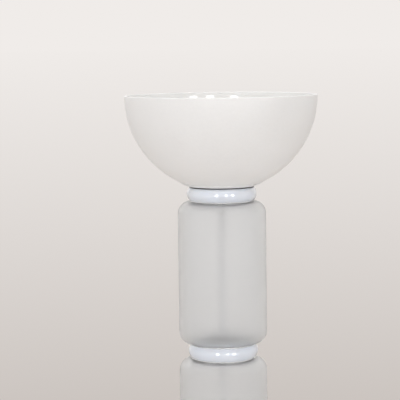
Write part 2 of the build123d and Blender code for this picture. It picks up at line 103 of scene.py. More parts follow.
def joinRings(sheet, ring, following, skin):
    count = max(len(ring), len(following))
    for step in range(count if count > 1 else 0):
        after = (step + 1) % count
        corners = [ring[step % len(ring)], ring[after % len(ring)]]
        corners += [following[after % len(following)], following[step % len(following)]]
        face = sheet.faces.new(list(dict.fromkeys(corners)))
        face.material_index = skin
        face.smooth = True


def turnSheet(sheet, outline, segments, warp=None, skins=None):
    rings = []
    for radius, height in outline:
        if radius < onAxis:
            rings.append([sheet.verts.new((0, 0, height))])
            continue
        ring = []
        for step in range(segments):
            angle = fullTurn * step / segments
            r, z = warp(angle, radius, height) if warp else (radius, height)
            ring.append(sheet.verts.new((r * math.cos(angle), r * math.sin(angle), z)))
        rings.append(ring)
    for index, ring in enumerate(rings):
        joinRings(sheet, ring, rings[(index + 1) % len(rings)], skins[index] if skins else 0)


def makePiece(name, sheet, place=None):
    bmesh.ops.recalc_face_normals(sheet, faces=sheet.faces[:])
    mesh = bpy.data.meshes.new(name)
    sheet.to_mesh(mesh)
    sheet.free()
    if place:
        mesh.transform(place)
    mesh.set_sharp_from_angle(angle=math.radians(sharpDeg))
    piece = bpy.data.objects.new(name, mesh)
    scene.collection.objects.link(piece)
    return piece


def turnPiece(name, outline, segments, warp=None, skins=None, place=None):
    sheet = bmesh.new()
    turnSheet(sheet, outline, segments, warp, skins)
    return makePiece(name, sheet, place)


def fitPiece(piece, body, slot, finishes, *replaced):
    for finish in finishes:
        piece.data.materials.append(finish)
    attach(piece, body)
    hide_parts(*replaced)


waveShape = {"count": 5, "fewestLobes": 2, "rise": (4, 16), "start": (0, 6.28)}


def blownWave(seed, depth, lobes):
    # blown glass is never quite round: a few long waves, always inward
    draw = random.Random(seed)
    waves = []
    for turn in range(waveShape["count"]):
        count = draw.randint(waveShape["fewestLobes"], lobes)
        rise = draw.uniform(*waveShape["rise"])
        waves.append((count, rise, draw.uniform(*waveShape["start"])))

    def warp(angle, radius, height):
        sways = [math.sin(count * angle + rise * height + start) for count, rise, start in waves]
        return radius - depth * (1 + sum(sways) / len(waves)) / 2, height

    return warp


# Shader helpers

def feed(tree, socket, source):
    if isinstance(source, bpy.types.NodeSocket):
        tree.links.new(source, socket)
    else:
        socket.default_value = source


def addNode(tree, kind, wires=None, **settings):
    node = tree.nodes.new("ShaderNode" + kind)
    for key, value in settings.items():
        setattr(node, key, value)
    for socket, source in (wires or {}).items():
        feed(tree, node.inputs[socket], source)
    return node


def mathNode(tree, operation, first, second=0.0, third=0.0, clamp=False):
    wires = {0: first, 1: second, 2: third}
    return addNode(tree, "Math", wires, operation=operation, use_clamp=clamp).outputs[0]


def addScaled(tree, value, scale, base, clamp=False):
    return mathNode(tree, "MULTIPLY_ADD", value, scale, base, clamp)


def noise(tree, spot, scale, detail, **wires):
    wires.update({"Vector": spot, "Scale": scale, "Detail": detail})
    return addNode(tree, "TexNoise", wires).outputs["Fac"]


def lineNoise(tree, along, **wires):
    wires.update({"W": along, "Scale": 1.0})
    return addNode(tree, "TexNoise", wires, noise_dimensions="1D").outputs["Fac"]


def spread(tree, value, span, toLow=0.0, toHigh=1.0):
    # the span of a value becomes toLow to toHigh, and stays there past its ends
    wires = {0: value, 1: span[0], 2: span[1], 3: toLow, 4: toHigh}
    return addNode(tree, "MapRange", wires).outputs[0]


def blendColours(tree, factor, first, second):
    node = addNode(tree, "Mix", {0: factor}, data_type="RGBA")
    colourSockets = [socket for socket in node.inputs if socket.type == "RGBA"]
    feed(tree, colourSockets[0], first)
    feed(tree, colourSockets[1], second)
    return next(socket for socket in node.outputs if socket.type == "RGBA")


def objectSpot(tree):
    return addNode(tree, "TexCoord").outputs["Object"]


def upward(tree):
    normal = addNode(tree, "NewGeometry").outputs["Normal"]
    return addNode(tree, "SeparateXYZ", {0: normal}).outputs["Z"]


def newGroup(name, inputs, outputs):
    group = bpy.data.node_groups.new(name, "ShaderNodeTree")
    for label, value in inputs.items():
        socket = group.interface.new_socket(label, in_out="INPUT", socket_type="NodeSocketFloat")
        socket.default_value = value
    for label in outputs:
        group.interface.new_socket(label, in_out="OUTPUT", socket_type="NodeSocketFloat")
    entry, leave = group.nodes.new("NodeGroupInput"), group.nodes.new("NodeGroupOutput")
    return group, entry.outputs, leave.inputs


def placeGroup(tree, group, **values):
    node = addNode(tree, "Group", node_tree=group)
    for label, value in values.items():
        feed(tree, node.inputs[label], value)
    return node.outputs


def newFinish(name, **values):
    finish = bpy.data.materials.new(name)
    finish.use_nodes = True
    tree = finish.node_tree
    shader = tree.nodes["Principled BSDF"]
    for label, value in values.items():
        shader.inputs[label.replace("_", " ")].default_value = value
    return finish, tree, shader


def setBump(tree, shader, height, look):
    wires = {"Height": height, "Distance": look["depth"], "Strength": look["bump"]}
    bump = addNode(tree, "Bump", wires)
    tree.links.new(bump.outputs["Normal"], shader.inputs["Normal"])


# Effects that several finishes share

etchEffect = {
    "fineDetail": 3.0, "cloudDetail": 4.0, "mottleDetail": 2.0, "mottleScale": 0.11,
    "mottleShare": 0.35, "cloudShare": 0.65, "shadeSpan": (0.36, 0.64), "mottleHeight": 0.6,
}


def etchedSkinGroup(effect):
    # fine etch, a coarser mottle and slow clouds
    inputs = {"grain": 1400.0, "cloud": 9.0}
    group, entry, leave = newGroup("etchedSkin", inputs, ["shade", "height"])
    spot = objectSpot(group)
    fine = noise(group, spot, entry["grain"], effect["fineDetail"])
    cloud = noise(group, spot, entry["cloud"], effect["cloudDetail"])
    middle = mathNode(group, "MULTIPLY", entry["grain"], effect["mottleScale"])
    mottle = noise(group, spot, middle, effect["mottleDetail"])
    clouded = mathNode(group, "MULTIPLY", cloud, effect["cloudShare"])
    shade = addScaled(group, mottle, effect["mottleShare"], clouded)
    feed(group, leave["shade"], spread(group, shade, effect["shadeSpan"]))
    feed(group, leave["height"], addScaled(group, mottle, effect["mottleHeight"], fine))
    return group


turnedEffect = {"lineDetail": 3.0, "lineSpan": (0.3, 0.7), "bandRise": 90.0, "bandsPerTurn": 2.0}


def turnedLinesGroup(effect):
    # tool lines round an upright axis, with broad bands of sheen
    # reach is the distance from that axis
    inputs = {"lines": 2500.0, "axisX": 0.0, "axisY": 0.0}
    group, entry, leave = newGroup("turnedLines", inputs, ["line", "sheenBand", "height", "reach"])
    spot = addNode(group, "SeparateXYZ", {0: objectSpot(group)}).outputs
    x = mathNode(group, "SUBTRACT", spot["X"], entry["axisX"])
    y = mathNode(group, "SUBTRACT", spot["Y"], entry["axisY"])
    reach = mathNode(group, "SQRT", addScaled(group, x, x, mathNode(group, "MULTIPLY", y, y)))
    along = mathNode(group, "ADD", reach, spot["Z"])
    stretched = mathNode(group, "MULTIPLY", along, entry["lines"])
    line = lineNoise(group, stretched, Detail=effect["lineDetail"])
    turn = mathNode(group, "MULTIPLY", mathNode(group, "ARCTAN2", y, x), effect["bandsPerTurn"])
    sway = mathNode(group, "SINE", turn)
    band = lineNoise(group, addScaled(group, along, effect["bandRise"], sway))
    feed(group, leave["line"], spread(group, line, effect["lineSpan"]))
    feed(group, leave["sheenBand"], band)
    feed(group, leave["height"], line)
    feed(group, leave["reach"], reach)
    return group


wearEffect = {
    "smearDetail": 5.0, "smearTwist": 0.6, "smearSpan": (0.48, 0.70), "gritDetail": 6.0,
    "gritSpan": (0.47, 0.72), "lyingSpan": (0.25, 1.0),
}


def handWearGroup(effect):
    # smears of handling all over, and dust where the surface lies flat
    inputs = {"size": 14.0, "dustSize": 260.0}
    group, entry, leave = newGroup("handWear", inputs, ["smudge", "dust"])
    spot = objectSpot(group)
    twist = effect["smearTwist"]
    smear = noise(group, spot, entry["size"], effect["smearDetail"], Distortion=twist)
    grit = noise(group, spot, entry["dustSize"], effect["gritDetail"])
    lying = spread(group, upward(group), effect["lyingSpan"])
    patch = spread(group, grit, effect["gritSpan"])
    feed(group, leave["smudge"], spread(group, smear, effect["smearSpan"]))
    feed(group, leave["dust"], mathNode(group, "MULTIPLY", lying, patch, clamp=True))
    return group


rubEffect = {"edgeSpan": (0.52, 0.60), "patchDetail": 4.0, "patchSpan": (0.42, 0.62)}


def edgeRubGroup(effect):
    # paint and plastic rubbed on the edges, in patches
    group, entry, leave = newGroup("edgeRub", {"patch": 120.0}, ["rub"])
    edge = addNode(group, "NewGeometry").outputs["Pointiness"]
    rough = noise(group, objectSpot(group), entry["patch"], effect["patchDetail"])
    sharp = spread(group, edge, effect["edgeSpan"])
    patch = spread(group, rough, effect["patchSpan"])
    feed(group, leave["rub"], mathNode(group, "MULTIPLY", sharp, patch, clamp=True))
    return group


mouldEffect = {"detail": 3.0, "shadeSpan": (0.35, 0.65), "cellHeight": 0.7}


def mouldGrainGroup(effect):
    inputs = {"grain": 900.0, "cloud": 30.0}
    group, entry, leave = newGroup("mouldGrain", inputs, ["shade", "height"])
    spot = objectSpot(group)
    wires = {"Vector": spot, "Scale": entry["grain"]}
    cells = addNode(group, "TexVoronoi", wires, feature="SMOOTH_F1").outputs["Distance"]
    fine = noise(group, spot, entry["grain"], effect["detail"])
    cloud = noise(group, spot, entry["cloud"], effect["detail"])
    feed(group, leave["shade"], spread(group, cloud, effect["shadeSpan"]))
    feed(group, leave["height"], addScaled(group, cells, effect["cellHeight"], fine))
    return group


etchedSkin = etchedSkinGroup(etchEffect)
turnedLines = turnedLinesGroup(turnedEffect)
handWear = handWearGroup(wearEffect)
edgeRub = edgeRubGroup(rubEffect)
mouldGrain = mouldGrainGroup(mouldEffect)
print("shared effects made")


# Glass finishes

def glassFinish(name, look, **values):
    # clouding in the colour, painted edge light and shade where the wall is seen edge on, skin in
    # the bump
    finish, tree, shader = newFinish(name, **values)
    skin = placeGroup(tree, etchedSkin, grain=look["grain"], cloud=look["cloud"])
    wear = placeGroup(tree, handWear, size=look["smudgeSize"])
    tone = blendColours(tree, skin["shade"], look["deep"], look["pale"])
    facing = addNode(tree, "LayerWeight").outputs["Facing"]
    paintedEdgeLight = spread(tree, facing, (look["edgeLightFrom"], 1.0), 0.0, look["edgeLightShare"])
    feed(tree, shader.inputs["Base Color"], blendColours(tree, paintedEdgeLight, tone, look["edge"]))
    satin = addScaled(tree, skin["shade"], look["roughSwing"], look["rough"])
    rough = addScaled(tree, wear["smudge"], look["smudgeRough"], satin, clamp=True)
    feed(tree, shader.inputs["Roughness"], rough)
    setBump(tree, shader, skin["height"], look)
    return finish


# each look's edge colour is painted edge light and shade, taken where the glass wall is seen edge
# on
bowlOutside = {
    "deep": (0.795, 0.792, 0.792, 1), "pale": (0.825, 0.822, 0.822, 1),
    "edge": (0.95, 0.945, 0.94, 1), "edgeLightFrom": 0.25, "edgeLightShare": 1.0,
    "rough": 0.46, "roughSwing": 0.08, "smudgeSize": 9.0, "smudgeRough": -0.05,
    "grain": 1500.0, "cloud": 7.0, "depth": 0.00006, "bump": 0.4,
}
bowlInside = {
    "deep": (0.895, 0.889, 0.880, 1), "pale": (0.915, 0.910, 0.902, 1),
    "edge": (0.93, 0.925, 0.92, 1), "edgeLightFrom": 0.5, "edgeLightShare": 0.5,
    "rough": 0.05, "roughSwing": 0.03, "smudgeSize": 12.0, "smudgeRough": 0.05,
    "grain": 40.0, "cloud": 6.0, "depth": 0.00003, "bump": 0.1,
}
bowlRim = dict(
    bowlOutside, deep=(0.900, 0.895, 0.887, 1), pale=(0.920, 0.915, 0.909, 1),
    edge=(0.840, 0.836, 0.830, 1), rough=0.40,
)
ringGlass = {
    "deep": (0.757, 0.803, 0.908, 1), "pale": (0.787, 0.831, 0.926, 1),
    "edge": (0.815, 0.855, 0.94, 1), "edgeLightFrom": 0.4, "edgeLightShare": 0.6,
    "rough": 0.025, "roughSwing": 0.02, "smudgeSize": 20.0, "smudgeRough": 0.03,
    "grain": 60.0, "cloud": 14.0, "depth": 0.00003, "bump": 0.06,
}
frostOutside = {
    "deep": (0.925, 0.945, 0.960, 1), "pale": (0.950, 0.968, 0.980, 1),
    "edge": (0.985, 0.985, 0.980, 1), "edgeLightFrom": 0.3, "edgeLightShare": 1.0,
    "rough": 0.62, "roughSwing": 0.07, "smudgeSize": 11.0, "smudgeRough": -0.06,
    "grain": 1700.0, "cloud": 10.0, "depth": 0.00006, "bump": 0.4,
}
frostInside = {
    "deep": (0.960, 0.968, 0.975, 1), "pale": (0.975, 0.982, 0.988, 1),
    "edge": (0.985, 0.985, 0.985, 1), "edgeLightFrom": 0.3, "edgeLightShare": 1.0,
    "rough": 0.36, "roughSwing": 0.06, "smudgeSize": 8.0, "smudgeRough": 0.05,
    "grain": 50.0, "cloud": 9.0, "depth": 0.00005, "bump": 0.1,
}
bowlBody = {
    "IOR": 1.5, "Subsurface_Weight": 0.25, "Subsurface_Radius": (1.0, 0.95, 0.9),
    "Subsurface_Scale": 0.006,
}
bowlGloss = {"Coat_Weight": 1.0, "Coat_Roughness": 0.02}
ringBody = {
    "IOR": 1.52, "Subsurface_Weight": 0.9, "Subsurface_Radius": (0.9, 0.95, 1.0),
    "Subsurface_Scale": 0.008, "Coat_Weight": 1.0, "Coat_IOR": 1.65, "Coat_Roughness": 0.03,
}
etchedBody = {"IOR": 1.2, "Transmission_Weight": 0.9, "Specular_IOR_Level": 0.3}
blownBody = {"IOR": 1.2, "Transmission_Weight": 1.0}
opalOut = glassFinish("opalBowlSatin", bowlOutside, **bowlBody)
opalIn = glassFinish("opalBowlGloss", bowlInside, **bowlBody, **bowlGloss)
opalRim = glassFinish("opalBowlRim", bowlRim, **bowlBody)
opalRing = glassFinish("opalRingGloss", ringGlass, **ringBody)
frostOut = glassFinish("frostedGlassEtched", frostOutside, **etchedBody)
frostIn = glassFinish("frostedGlassBlown", frostInside, **blownBody)


# Metal finishes

def metalFinish(name, look, axis=(0.0, 0.0), metal=1.0):
    finish, tree, shader = newFinish(name, Metallic=metal)
    lines = placeGroup(tree, turnedLines, lines=look["lines"], axisX=axis[0], axisY=axis[1])
    wear = placeGroup(tree, handWear, size=look["smudgeSize"])
    # painted sheen: the sheen bands move the base colour between deep and pale
    tone = blendColours(tree, lines["sheenBand"], look["deep"], look["pale"])
    if "hubShade" in look:
        # painted shade: darker towards the middle of the upper side, bright where the rim was
        # turned
        inside = spread(tree, lines["reach"], look["hubShadeReach"], 1.0, 0.0)
        onTop = spread(tree, upward(tree), look["hubShadeTop"])
        tone = blendColours(tree, mathNode(tree, "MULTIPLY", inside, onTop), tone, look["hubShade"])
    feed(tree, shader.inputs["Base Color"], blendColours(tree, wear["smudge"], tone, look["dull"]))
    brushed = addScaled(tree, lines["line"], look["roughSwing"], look["rough"])
    rough = addScaled(tree, wear["smudge"], look["smudgeRough"], brushed, clamp=True)
    feed(tree, shader.inputs["Roughness"], rough)
    setBump(tree, shader, lines["height"], look)
    return finish


nickelLook = {
    "deep": (0.72, 0.71, 0.69, 1), "pale": (0.80, 0.79, 0.775, 1), "dull": (0.70, 0.69, 0.67, 1),
    "rough": 0.12, "roughSwing": 0.06, "smudgeSize": 26.0, "smudgeRough": 0.10,
    "lines": 1800.0, "depth": 0.00002, "bump": 0.25,
}
# a paler, barely metallic copy of the nickel for the cup: painted light where the cup sits in the
# shade under the bowl
paintedLightNickelLook = dict(
    nickelLook, deep=(0.90, 0.90, 0.90, 1), pale=(0.95, 0.95, 0.95, 1),
    dull=(0.88, 0.88, 0.88, 1), rough=0.42,
)
# a paler copy of the zinc steel for the centre tube: painted light, so the tube shows no dark band
# through the frosted glass
paintedLightZincLook = dict(
    paintedLightNickelLook, deep=(0.72, 0.72, 0.73, 1), pale=(0.78, 0.78, 0.79, 1), dull=(0.72, 0.72, 0.73, 1),
)
zincLook = {
    "deep": (0.46, 0.47, 0.48, 1), "pale": (0.58, 0.59, 0.61, 1), "dull": (0.40, 0.41, 0.42, 1),
    "rough": 0.30, "roughSwing": 0.12, "smudgeSize": 60.0, "smudgeRough": 0.15,
    "lines": 2600.0, "depth": 0.00003, "bump": 0.3,
}
aluminiumLook = {
    "deep": (0.84, 0.84, 0.85, 1), "pale": (0.90, 0.90, 0.91, 1), "dull": (0.82, 0.82, 0.83, 1),
    "rough": 0.46, "roughSwing": 0.14, "smudgeSize": 40.0, "smudgeRough": 0.10,
    "lines": 3200.0, "depth": 0.00004, "bump": 0.4,
    # the dark hub colour is painted shade on the upper side near the axis
    "hubShade": (0.150, 0.150, 0.155, 1), "hubShadeReach": (0.05723, 0.0590), "hubShadeTop": (-0.1, 0.1),
}
brassLook = {
    "deep": (0.58, 0.42, 0.17, 1), "pale": (0.74, 0.58, 0.29, 1), "dull": (0.42, 0.30, 0.13, 1),
    "rough": 0.24, "roughSwing": 0.12, "smudgeSize": 90.0, "smudgeRough": 0.18,
    "lines": 3000.0, "depth": 0.00003, "bump": 0.3,
}
switchLow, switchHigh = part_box("switch_bezel")
switchAxis = ((switchLow.x + switchHigh.x) / 2, (switchLow.y + switchHigh.y) / 2)
nickel = metalFinish("polishedNickel", nickelLook)
paintedLightNickel = metalFinish("paintedLightNickel", paintedLightNickelLook, metal=0.1)
paintedLightZinc = metalFinish("paintedLightZinc", paintedLightZincLook, metal=0.3)
switchNickel = metalFinish("switchNickel", nickelLook, axis=switchAxis)
zinc = metalFinish("zincSteel", zincLook)
aluminium = metalFinish("turnedAluminium", aluminiumLook, metal=0.15)
brass = metalFinish("brass", brassLook)


# Lacquer, rubber and plastic: moulded grain, rubbed edges and a little dust on top

paleDust = (0.60, 0.58, 0.55, 1)
dustRough = 0.25


def coatedFinish(name, look, **values):
    finish, tree, shader = newFinish(name, **values)
    grain = placeGroup(tree, mouldGrain, grain=look["grain"], cloud=look["cloud"])
    wear = placeGroup(tree, handWear, size=look["smudgeSize"])
    rub = placeGroup(tree, edgeRub, patch=look["rubPatch"])
    tone = blendColours(tree, grain["shade"], look["deep"], look["pale"])
    rubbed = mathNode(tree, "MULTIPLY", rub["rub"], look["rubShare"])
    worn = blendColours(tree, rubbed, tone, look["rubbed"])
    dusted = mathNode(tree, "MULTIPLY", wear["dust"], look["dustShare"])
    feed(tree, shader.inputs["Base Color"], blendColours(tree, dusted, worn, paleDust))
    satin = addScaled(tree, wear["smudge"], look["smudgeRough"], look["rough"])
    rough = addScaled(tree, wear["dust"], dustRough * look["dustShare"], satin, clamp=True)
    feed(tree, shader.inputs["Roughness"], rough)
    setBump(tree, shader, grain["height"], look)
    return finish


whiteLacquerLook = {
    "deep": (0.790, 0.780, 0.762, 1), "pale": (0.826, 0.817, 0.802, 1),
    "rubbed": (0.86, 0.85, 0.84, 1), "rubShare": 0.6, "rubPatch": 90.0,
    "dustShare": 0.14, "rough": 0.44, "smudgeRough": 0.07,
    "smudgeSize": 9.0, "grain": 420.0, "cloud": 6.0, "depth": 0.00004, "bump": 0.25,
}
blackLacquerLook = {
    "deep": (0.014, 0.014, 0.016, 1), "pale": (0.024, 0.024, 0.026, 1),
    "rubbed": (0.09, 0.09, 0.09, 1), "rubShare": 0.5, "rubPatch": 200.0,
    "dustShare": 0.05, "rough": 0.34, "smudgeRough": 0.08,
    "smudgeSize": 20.0, "grain": 700.0, "cloud": 30.0, "depth": 0.00004, "bump": 0.3,
}
rubberLook = {
    "deep": (0.016, 0.016, 0.016, 1), "pale": (0.030, 0.030, 0.029, 1),
    "rubbed": (0.06, 0.06, 0.06, 1), "rubShare": 0.5, "rubPatch": 200.0,
    "dustShare": 0.16, "rough": 0.72, "smudgeRough": 0.08,
    "smudgeSize": 40.0, "grain": 1300.0, "cloud": 60.0, "depth": 0.00008, "bump": 0.5,
}
siliconeLook = {
    "deep": (0.85, 0.85, 0.87, 1), "pale": (0.90, 0.90, 0.92, 1),
    "rubbed": (0.92, 0.92, 0.92, 1), "rubShare": 0.3, "rubPatch": 200.0,
    "dustShare": 0.10, "rough": 0.42, "smudgeRough": 0.08,
    "smudgeSize": 50.0, "grain": 900.0, "cloud": 50.0, "depth": 0.00004, "bump": 0.3,
}
ironLook = {
    "deep": (0.060, 0.058, 0.056, 1), "pale": (0.115, 0.110, 0.105, 1),
    "rubbed": (0.22, 0.21, 0.20, 1), "rubShare": 0.7, "rubPatch": 120.0,
    "dustShare": 0.10, "rough": 0.68, "smudgeRough": 0.10,
    "smudgeSize": 30.0, "grain": 360.0, "cloud": 24.0, "depth": 0.00040, "bump": 0.7,
}
porcelainLook = {
    "deep": (0.800, 0.790, 0.765, 1), "pale": (0.850, 0.842, 0.820, 1),
    "rubbed": (0.88, 0.87, 0.85, 1), "rubShare": 0.3, "rubPatch": 200.0,
    "dustShare": 0.10, "rough": 0.10, "smudgeRough": 0.06,
    "smudgeSize": 60.0, "grain": 240.0, "cloud": 60.0, "depth": 0.00005, "bump": 0.25,
}
whitePlasticLook = {
    "deep": (0.780, 0.776, 0.755, 1), "pale": (0.820, 0.816, 0.800, 1),
    "rubbed": (0.86, 0.86, 0.85, 1), "rubShare": 0.4, "rubPatch": 200.0,
    "dustShare": 0.12, "rough": 0.38, "smudgeRough": 0.08,
    "smudgeSize": 60.0, "grain": 1500.0, "cloud": 40.0, "depth": 0.00004, "bump": 0.4,
}
blackPlasticLook = dict(rubberLook, rough=0.45, grain=1600.0, depth=0.00005)
opalPlasticLook = dict(
    whitePlasticLook, deep=(0.84, 0.84, 0.83, 1), pale=(0.88, 0.88, 0.87, 1),
    rough=0.24, grain=500.0,
)
sheathLook = dict(whitePlasticLook, rough=0.46, grain=800.0)
lacquerCoat = {"Coat_Weight": 0.10, "Coat_Roughness": 0.40}
glazeCoat = {"Coat_Weight": 0.6, "Coat_Roughness": 0.04}
paleScatter = (1.0, 0.97, 0.94)
siliconeBody = {
    "Subsurface_Weight": 0.3, "Subsurface_Radius": paleScatter, "Subsurface_Scale": 0.002,
}
opalBody = {
    "Subsurface_Weight": 0.4, "Subsurface_Radius": paleScatter, "Subsurface_Scale": 0.004,
}
whitePlastic = coatedFinish("whitePlastic", whitePlasticLook)
blackPlastic = coatedFinish("blackPlastic", blackPlasticLook)
slotFinish = {
    "opal_bowl_glass": opalOut, "opal_ring_glass": opalRing, "frosted_glass": frostOut,
    "polished_nickel": nickel, "zinc_steel": zinc, "turned_aluminium": aluminium, "brass": brass,
    "black_lacquer": coatedFinish("blackLacquer", blackLacquerLook),
    "white_lacquer": coatedFinish("whiteLacquer", whiteLacquerLook, **lacquerCoat),
    "black_rubber": coatedFinish("blackRubber", rubberLook),
    "clear_silicone": coatedFinish("clearSilicone", siliconeLook, **siliconeBody),
    "cast_iron": coatedFinish("castIron", ironLook),
    "white_porcelain": coatedFinish("whitePorcelain", porcelainLook, **glazeCoat),
    "white_plastic": whitePlastic, "black_plastic": blackPlastic,
    "opal_plastic": coatedFinish("opalPlastic", opalPlasticLook, **opalBody),
    "cable_sheath": coatedFinish("cableSheath", sheathLook),
}
# nodes whose finish differs from the rest of their slot; both are paler copies that paint light
nodeFinish = {"bowl_cup": paintedLightNickel, "centre_tube": paintedLightZinc}
for part in frame["record"]["subparts"]:
    mesh = nodes[part["node"]].data
    mesh.materials.clear()
    mesh.materials.append(nodeFinish.get(part["node"], slotFinish[part["material_slot"]]))
print("finishes made:", len(slotFinish), "slots")


# Opal glass bowl: satin outside and over the rim, glossy inside

bowlShape = {
    "wall": 0.005, "hole": 0.00905, "rimRound": 0.0018, "footRound": 0.0025, "floorRound": 0.008,
    "etchReach": 0.008, "steps": 90, "arcStep": 4, "segments": 224,
    "wave": 0.00016, "lobes": 5, "seed": 11, "rimTolerance": 1e-7,
}


def makeBowl(shape):
    low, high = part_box("bowl")
    outer, inner = high.x, high.x - shape["wall"]
    rim, foot, floor = high.z, low.z, low.z + shape["wall"]
    footDeg = math.degrees(math.asin((rim - foot) / outer))
    floorDeg = math.degrees(math.asin((rim - floor) / inner))
    outside = arcOutline((0, rim), outer, -footDeg, 0, shape["steps"])
    inside = arcOutline((0, rim), inner, 0, -floorDeg, shape["steps"])
    corners = [(shape["hole"], foot), (*outside[0], shape["footRound"]), *outside[1:-1]]
    corners += [(*outside[-1], shape["rimRound"]), (*inside[0], shape["rimRound"]), *inside[1:-1]]
    corners += [(*inside[-1], shape["floorRound"]), (shape["hole"], floor)]
    outline = roundedOutline(corners, shape["arcStep"])
    depths = [rim - height for radius, height in outline]
    top = next(index for index, depth in enumerate(depths) if depth < shape["rimTolerance"])
    etched = max(index for index, depth in enumerate(depths) if depth < shape["etchReach"])
    # skin 0 is the outside, 2 the etched rim and 1 the inside
    skins = [0 if index < top else 2 if index <= etched else 1 for index in range(len(outline))]
    wave = blownWave(shape["seed"], shape["wave"], shape["lobes"])
    bowl = turnPiece("bowlGlass", outline, shape["segments"], wave, skins)
    fitPiece(bowl, "stand", "opal_bowl_glass", [opalOut, opalIn, opalRim], "bowl")


makeBowl(bowlShape)
print("bowl made")


# Opal rings: bulged side between flat ends, open at the neck

ringShape = {
    "wall": 0.007, "neck": 0.06325, "bulge": 0.00625, "edgeRound": 0.0025, "lip": 0.0008,
    "steps": 24, "arcStep": 4, "segments": 176, "wave": 0.00012, "lobes": 4, "firstSeed": 20,
    "count": 4,
}


def makeRing(number, shape):
    low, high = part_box(f"opal_ring_{number}")
    outer, wall, neck, lip = high.x, shape["wall"], shape["neck"], shape["lip"]
    edgeRound = shape["edgeRound"]
    half = (high.z - low.z) / 2
    radius = (half ** 2 + shape["bulge"] ** 2) / (2 * shape["bulge"])
    centre = (outer - radius, low.z + half)
    sideDeg = math.degrees(math.asin(half / radius))
    hollowDeg = math.degrees(math.asin((half - wall) / (radius - wall)))
    side = arcOutline(centre, radius, -sideDeg, sideDeg, shape["steps"])
    hollow = arcOutline(centre, radius - wall, hollowDeg, -hollowDeg, shape["steps"])
    corners = [(neck, low.z, lip), (*side[0], edgeRound), *side[1:-1], (*side[-1], edgeRound)]
    corners += [(neck, high.z, lip), (neck, high.z - wall, lip), *hollow, (neck, low.z + wall, lip)]
    outline = roundedOutline(corners, shape["arcStep"])
    wave = blownWave(shape["firstSeed"] + number, shape["wave"], shape["lobes"])
    ring = turnPiece(f"opalRing{number}", outline, shape["segments"], wave)
    fitPiece(ring, "stand", "opal_ring_glass", [opalRing], f"opal_ring_{number}")


for number in range(1, ringShape["count"] + 1):
    makeRing(number, ringShape)
print("opal rings made")


# Frosted cylinders: rounded shoulders, etched outside, blown inside, open at the neck

cylinderShape = {
    "wall": 0.005, "neck": 0.06325, "round": 0.029, "lip": 0.0008, "arcStep": 4, "segments": 176,
    "wave": 0.00025, "lobes": 4, "firstSeed": 40, "count": 3,
}


def makeCylinder(number, shape):
    low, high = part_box(f"frosted_cylinder_{number}")
    outer, wall, neck, lip = high.x, shape["wall"], shape["neck"], shape["lip"]
    outerRound, innerRound = shape["round"], shape["round"] - wall
    outside = [(neck, low.z, lip), (outer, low.z, outerRound)]
    outside += [(outer, high.z, outerRound), (neck, high.z, lip)]
    inside = [(neck, high.z - wall, lip), (outer - wall, high.z - wall, innerRound)]
    inside += [(outer - wall, low.z + wall, innerRound), (neck, low.z + wall, lip)]
    etched = len(roundedOutline(outside, shape["arcStep"])) - 2
    outline = roundedOutline(outside + inside, shape["arcStep"])
    # skin 0 is the etched outside and 1 the blown inside
    skins = [0 if index < etched else 1 for index in range(len(outline))]
    wave = blownWave(shape["firstSeed"] + number, shape["wave"], shape["lobes"])
    cylinder = turnPiece(f"frostedCylinder{number}", outline, shape["segments"], wave, skins)
    fitPiece(cylinder, "stand", "frosted_glass", [frostOut, frostIn], f"frosted_cylinder_{number}")


for number in range(1, cylinderShape["count"] + 1):
    makeCylinder(number, cylinderShape)
print("frosted cylinders made")


# Foot switch: grooved push button in a knurled bezel

buttonShape = {
    "radius": 0.011, "dome": 0.003, "skirt": 0.008, "stem": 0.006, "edge": 0.0006, "foot": 0.0004,
    "grooves": (0.0030, 0.0052, 0.0074), "grooveDepth": 0.0005, "grooveWidth": 0.00045,
    "steps": 56, "firstStep": 3, "arcStep": 12, "segments": 96,
}
bezelShape = {
    "bore": 0.0114, "barrel": 0.0140, "flange": 0.0025, "round": 0.0010, "seatRound": 0.0003,
    "boreRound": 0.0005, "teeth": 54, "toothDepth": 0.0005, "toothRun": 0.0012, "toothFade": 0.0010,
    "arcStep": 12, "stepsPerTooth": 8,
}


def domeLevel(reach, top, shape):
    # part sphere with three shallow grip grooves
    sphere = (shape["radius"] ** 2 + shape["dome"] ** 2) / (2 * shape["dome"])
    level = top - sphere + math.sqrt(sphere ** 2 - reach ** 2)
    offsets = [(reach - groove) / shape["grooveWidth"] for groove in shape["grooves"]]
    cuts = [math.exp(-offset ** 2) for offset in offsets]
    return level - shape["grooveDepth"] * sum(cuts)


def fadeIn(value, start, length):
    return min(1.0, max(0.0, (value - start) / length))


def makeButton(shape):
    low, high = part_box("switch_button")
    radius, stem, foot = shape["radius"], shape["stem"], shape["foot"]
    skirtHigh = high.z - shape["dome"]
    skirtLow = skirtHigh - shape["skirt"]
    corners = [(0, low.z), (stem, low.z, foot), (stem, skirtLow)]
    corners += [(radius, skirtLow, foot), (radius, skirtHigh, shape["edge"])]
    for step in range(shape["firstStep"], shape["steps"] + 1):
        reach = radius * (1 - step / shape["steps"])
        corners.append((reach, domeLevel(reach, high.z, shape)))
    outline = roundedOutline(corners, shape["arcStep"])
    place = Matrix.Translation((*switchAxis, 0))
    button = turnPiece("switchButton", outline, shape["segments"], place=place)
    fitPiece(button, "button", "white_plastic", [whitePlastic], "switch_button")


